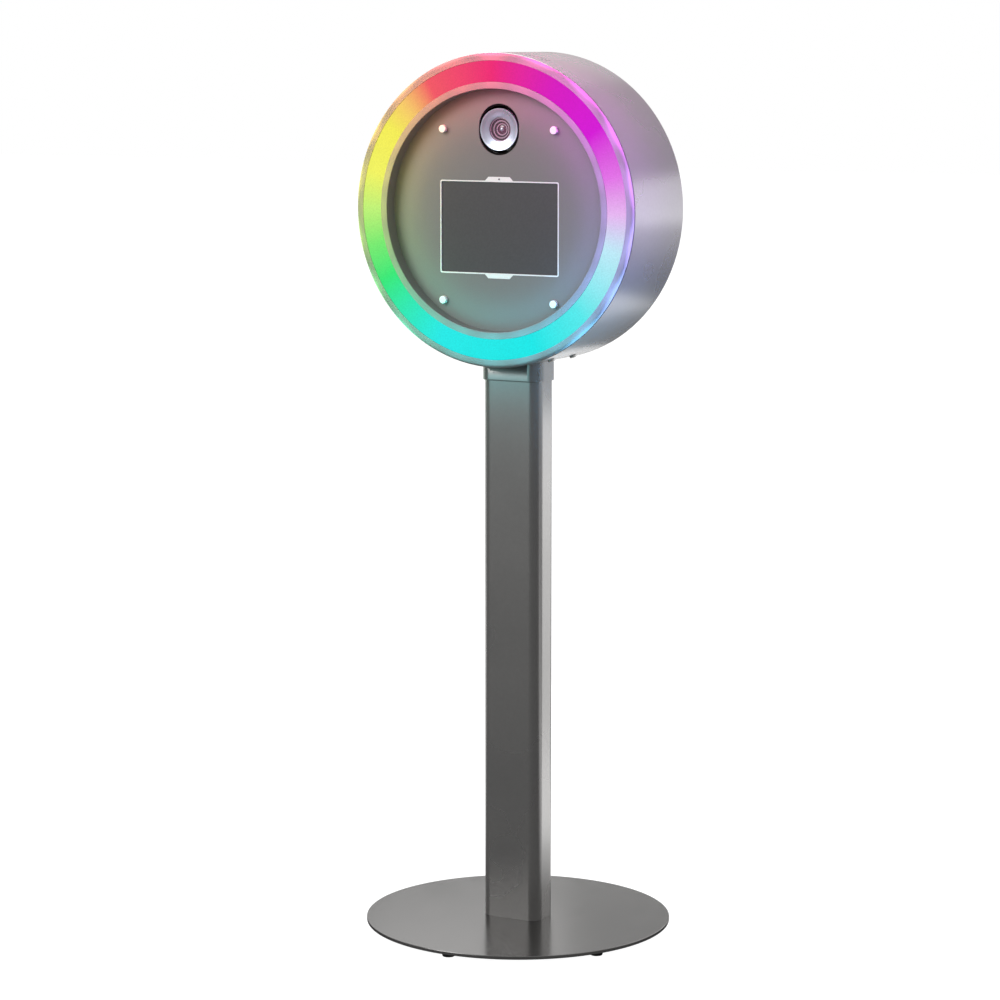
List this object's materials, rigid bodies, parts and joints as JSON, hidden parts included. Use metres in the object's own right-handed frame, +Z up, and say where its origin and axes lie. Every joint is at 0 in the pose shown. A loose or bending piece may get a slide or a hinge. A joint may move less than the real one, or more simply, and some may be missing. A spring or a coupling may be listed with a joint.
{
  "type": "free-standing photo booth",
  "caption": "Round drum head with a light ring, tablet screen and tilting camera on a rounded column and a round base, with a hinged rear door.",
  "frame": {"origin": "on the floor, under the centre of the round base plate and the column's axis", "axes": "+Z up, the screen and the light ring face -Y, +X is to the right of someone facing the screen"},
  "size_m": [0.5299, 0.53, 1.5113],
  "materials": {
    "gunmetal_paint": "satin metallic powder coat",
    "zinc_steel": "zinc plated",
    "cast_aluminium": "cast and mill finish",
    "tablet_aluminium": "bead-blasted anodised",
    "black_rubber": "matt",
    "opal_acrylic": "opal, lit from behind",
    "led_package": "moulded LED packages",
    "circuit_board": "solder mask",
    "white_plastic": "moulded",
    "screen_glass": "dark cover glass over a display that is off",
    "lens_black": "satin black",
    "lens_silver": "polished",
    "lens_glass": "coated optical glass",
    "black_plastic": "fine texture",
    "wire_insulation": "flexible insulation"
  },
  "bodies": {
    "booth": {"base_plate": "gunmetal_paint", "base_feet": "black_rubber", "foot_screws": "zinc_steel", "base_bolts": "zinc_steel", "column_foot_block": "zinc_steel", "column": "gunmetal_paint", "head_socket": "gunmetal_paint", "socket_screws": "zinc_steel", "head_saddle": "cast_aluminium", "socket_bolts": "zinc_steel", "saddle_screws": "zinc_steel", "drum_shell": "gunmetal_paint", "drum_flanges": "zinc_steel", "front_bezel": "gunmetal_paint", "bezel_screws": "zinc_steel", "ring_diffuser": "opal_acrylic", "led_ring_board": "circuit_board", "led_chips": "led_package", "faceplate": "gunmetal_paint", "faceplate_screws": "zinc_steel", "lens_gasket": "black_rubber", "screen_surround": "white_plastic", "tablet_body": "tablet_aluminium", "tablet_glass": "screen_glass", "tablet_camera_lens": "lens_black", "mounting_frame": "zinc_steel", "frame_spacers": "zinc_steel", "frame_studs": "zinc_steel", "stud_caps": "white_plastic", "frame_nuts": "zinc_steel", "tablet_clips": "black_plastic", "tablet_pads": "black_rubber", "camera_brackets": "zinc_steel", "interior_screws": "zinc_steel", "electronics_shelf": "zinc_steel", "power_supply": "cast_aluminium", "led_controller": "white_plastic", "internal_wiring": "wire_insulation", "back_plate": "gunmetal_paint", "rear_screws": "zinc_steel", "hinge_frame_leaves": "zinc_steel", "hinge_pins": "zinc_steel", "power_inlet": "black_plastic", "switch_housing": "black_plastic", "button_housing": "zinc_steel"},
    "door": {"rear_door": "gunmetal_paint", "hinge_door_leaves": "zinc_steel", "door_hinge_screws": "zinc_steel", "latch_housing": "zinc_steel"},
    "latch": {"latch_knob": "black_plastic", "latch_cam": "zinc_steel"},
    "rocker": {"switch_rocker": "black_plastic"},
    "button": {"light_button": "white_plastic"},
    "camera": {"camera_body": "black_plastic", "lens_barrel": "lens_black", "lens_trim_ring": "lens_silver", "lens_glass": "lens_glass", "tilt_pin": "zinc_steel"},
    "tilt_clamp": {"tilt_knob": "black_plastic"}
  },
  "joints": [
    {"name": "rear_door_hinge", "type": "hinge", "parent": "booth", "child": "door", "pos_m": [-0.165, 0.0969, 1.247], "axis": [0, 0, 1], "range_deg": [0, 110]},
    {"name": "latch_turn", "type": "hinge", "parent": "door", "child": "latch", "pos_m": [0.132, 0.09, 1.258], "axis": [0, -1, 0], "range_deg": [0, 90]},
    {"name": "power_switch_rock", "type": "hinge", "parent": "booth", "child": "rocker", "pos_m": [0.01, 0.088, 1.057], "axis": [1, 0, 0], "range_deg": [-16, 0]},
    {"name": "light_button_press", "type": "slide", "parent": "booth", "child": "button", "axis": [0, -1, 0], "range_m": [0, 0.002], "stiffness_N_per_m": 400, "springref_m": -0.001},
    {"name": "camera_tilt", "type": "hinge", "parent": "booth", "child": "camera", "pos_m": [0, -0.034, 1.3825], "axis": [1, 0, 0], "range_deg": [-5, 5]},
    {"name": "tilt_clamp_turn", "type": "hinge", "parent": "camera", "child": "tilt_clamp", "pos_m": [0.047, -0.034, 1.3825], "axis": [1, 0, 0], "continuous": true}
  ]
}
